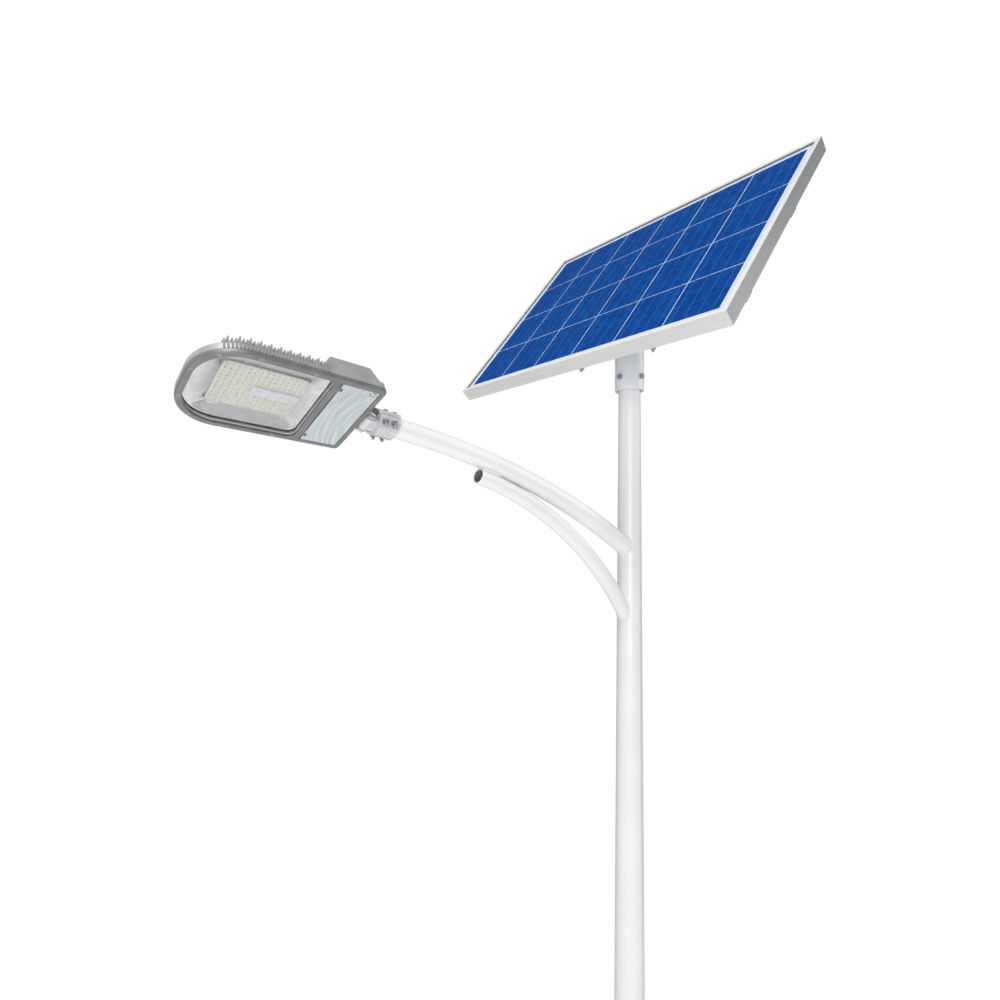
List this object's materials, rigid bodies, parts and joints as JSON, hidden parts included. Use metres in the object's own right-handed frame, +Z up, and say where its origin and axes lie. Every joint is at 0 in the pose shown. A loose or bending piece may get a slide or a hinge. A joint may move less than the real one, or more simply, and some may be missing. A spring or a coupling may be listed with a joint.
{
  "type": "solar street lamp",
  "caption": "Tapered white pole with a bowed arm and strut, a solar panel on a turning, tilting yoke, and an LED street-light head on an adjustable spigot clamp.",
  "frame": {"origin": "centre of the base flange's underside, at ground level", "axes": "+Z up the pole, -Y towards the arm, the lamp head and the panel's low edge, +X to the right of a viewer who looks along +Y"},
  "size_m": [0.835, 1.3388, 3.452],
  "materials": {
    "powder_white": "glossy white powder coat over galvanised steel",
    "zinc_steel": "hot-dip galvanised, dull grey",
    "stainless": "plain stainless",
    "anodised_frame": "satin pale anodised",
    "panel_glass": "low-iron tempered, smooth",
    "cell_blue": "blue multicrystalline silicon",
    "tinned_ribbon": "tinned copper, bright",
    "backsheet_white": "white laminate sheet",
    "black_plastic": "moulded, fine texture",
    "battery_enclosure": "light grey powder coat",
    "battery_wrap": "blue shrink film",
    "cast_grey": "die-cast, fine sprayed grey coat",
    "rim_grey": "die-cast, fine sprayed grey coat",
    "lens_glass": "clear tempered",
    "silicone": "soft translucent grey",
    "polished_reflector": "deep-drawn anodised bright aluminium",
    "board_white": "white solder mask on aluminium",
    "led_phosphor": "yellow phosphor in silicone",
    "board_cover": "smooth pale moulding",
    "gear_case": "brushed",
    "gear_steel": "zinc plated sheet",
    "door_aluminium": "swirled bright sheet"
  },
  "bodies": {
    "pole": {"pole_shaft": "powder_white", "pole_cap": "powder_white", "base_flange": "powder_white", "base_gussets": "powder_white", "arm_tube": "powder_white", "strut_tube": "powder_white", "arm_strut_welds": "powder_white"},
    "panel_yoke": {"panel_sleeve": "powder_white", "sleeve_thrust_plate": "powder_white", "sleeve_clamp_bolts": "stainless", "yoke_crossbar": "powder_white", "yoke_ears": "powder_white", "tilt_pivot_studs": "zinc_steel", "tilt_pivot_nuts": "zinc_steel"},
    "panel": {"frame_long_rails": "anodised_frame", "frame_short_rails": "anodised_frame", "corner_keys": "anodised_frame", "panel_glass": "panel_glass", "solar_cells": "cell_blue", "cell_ribbons": "tinned_ribbon", "backsheet": "backsheet_white", "junction_box": "black_plastic", "junction_box_lid": "black_plastic", "junction_box_glands": "black_plastic", "cross_rails": "zinc_steel", "panel_clips": "zinc_steel", "clip_bolts": "zinc_steel", "rail_bolts": "zinc_steel", "rail_nuts": "zinc_steel", "slope_beams": "zinc_steel", "tilt_lock_bolts": "zinc_steel", "tilt_lock_nuts": "zinc_steel", "battery_case": "battery_enclosure", "battery_lid": "battery_enclosure", "battery_pack": "battery_wrap", "battery_gland": "black_plastic", "battery_straps": "zinc_steel"},
    "spigot": {"clamp_body": "cast_grey", "clamp_saddle": "cast_grey", "clamp_bolts": "stainless", "clamp_nuts": "stainless"},
    "lamp_head": {"lamp_housing": "cast_grey", "lamp_rim": "rim_grey", "rim_screws": "stainless", "lens_glass": "lens_glass", "lens_gasket": "silicone", "reflector": "polished_reflector", "led_board": "board_white", "led_chips": "led_phosphor", "board_wire_cover": "board_cover", "gear_tray": "gear_steel", "led_driver": "gear_case", "charge_controller": "gear_case", "terminal_block": "black_plastic", "knuckle_bolt": "stainless", "knuckle_nut": "stainless"},
    "gear_door": {"gear_door": "door_aluminium", "door_hinge_pins": "stainless"},
    "door_latch": {"door_latch": "stainless"}
  },
  "joints": [
    {"name": "panel_azimuth", "type": "hinge", "parent": "pole", "child": "panel_yoke", "pos_m": [0, 0, 3.041], "axis": [0, 0, 1], "range_deg": [-180, 180]},
    {"name": "panel_tilt", "type": "hinge", "parent": "panel_yoke", "child": "panel", "pos_m": [0, 0, 3.071], "axis": [1, 0, 0], "range_deg": [-30, 10]},
    {"name": "lamp_roll", "type": "hinge", "parent": "pole", "child": "spigot", "pos_m": [0, -0.75824, 2.72733], "axis": [0, -0.989, 0.1478], "range_deg": [-54, 6]},
    {"name": "lamp_tilt", "type": "hinge", "parent": "spigot", "child": "lamp_head", "pos_m": [0, -0.77505, 2.72984], "axis": [0.9135, 0.0601, 0.4023], "range_deg": [-19, 11]},
    {"name": "door_hinge", "type": "hinge", "parent": "lamp_head", "child": "gear_door", "pos_m": [0.0052, -0.86552, 2.73155], "axis": [-0.9135, -0.0601, -0.4023], "range_deg": [0, 85]},
    {"name": "latch_turn", "type": "hinge", "parent": "gear_door", "child": "door_latch", "pos_m": [0.07692, -0.80379, 2.75583], "axis": [0.4057, -0.0657, -0.9116], "range_deg": [0, 90]}
  ]
}
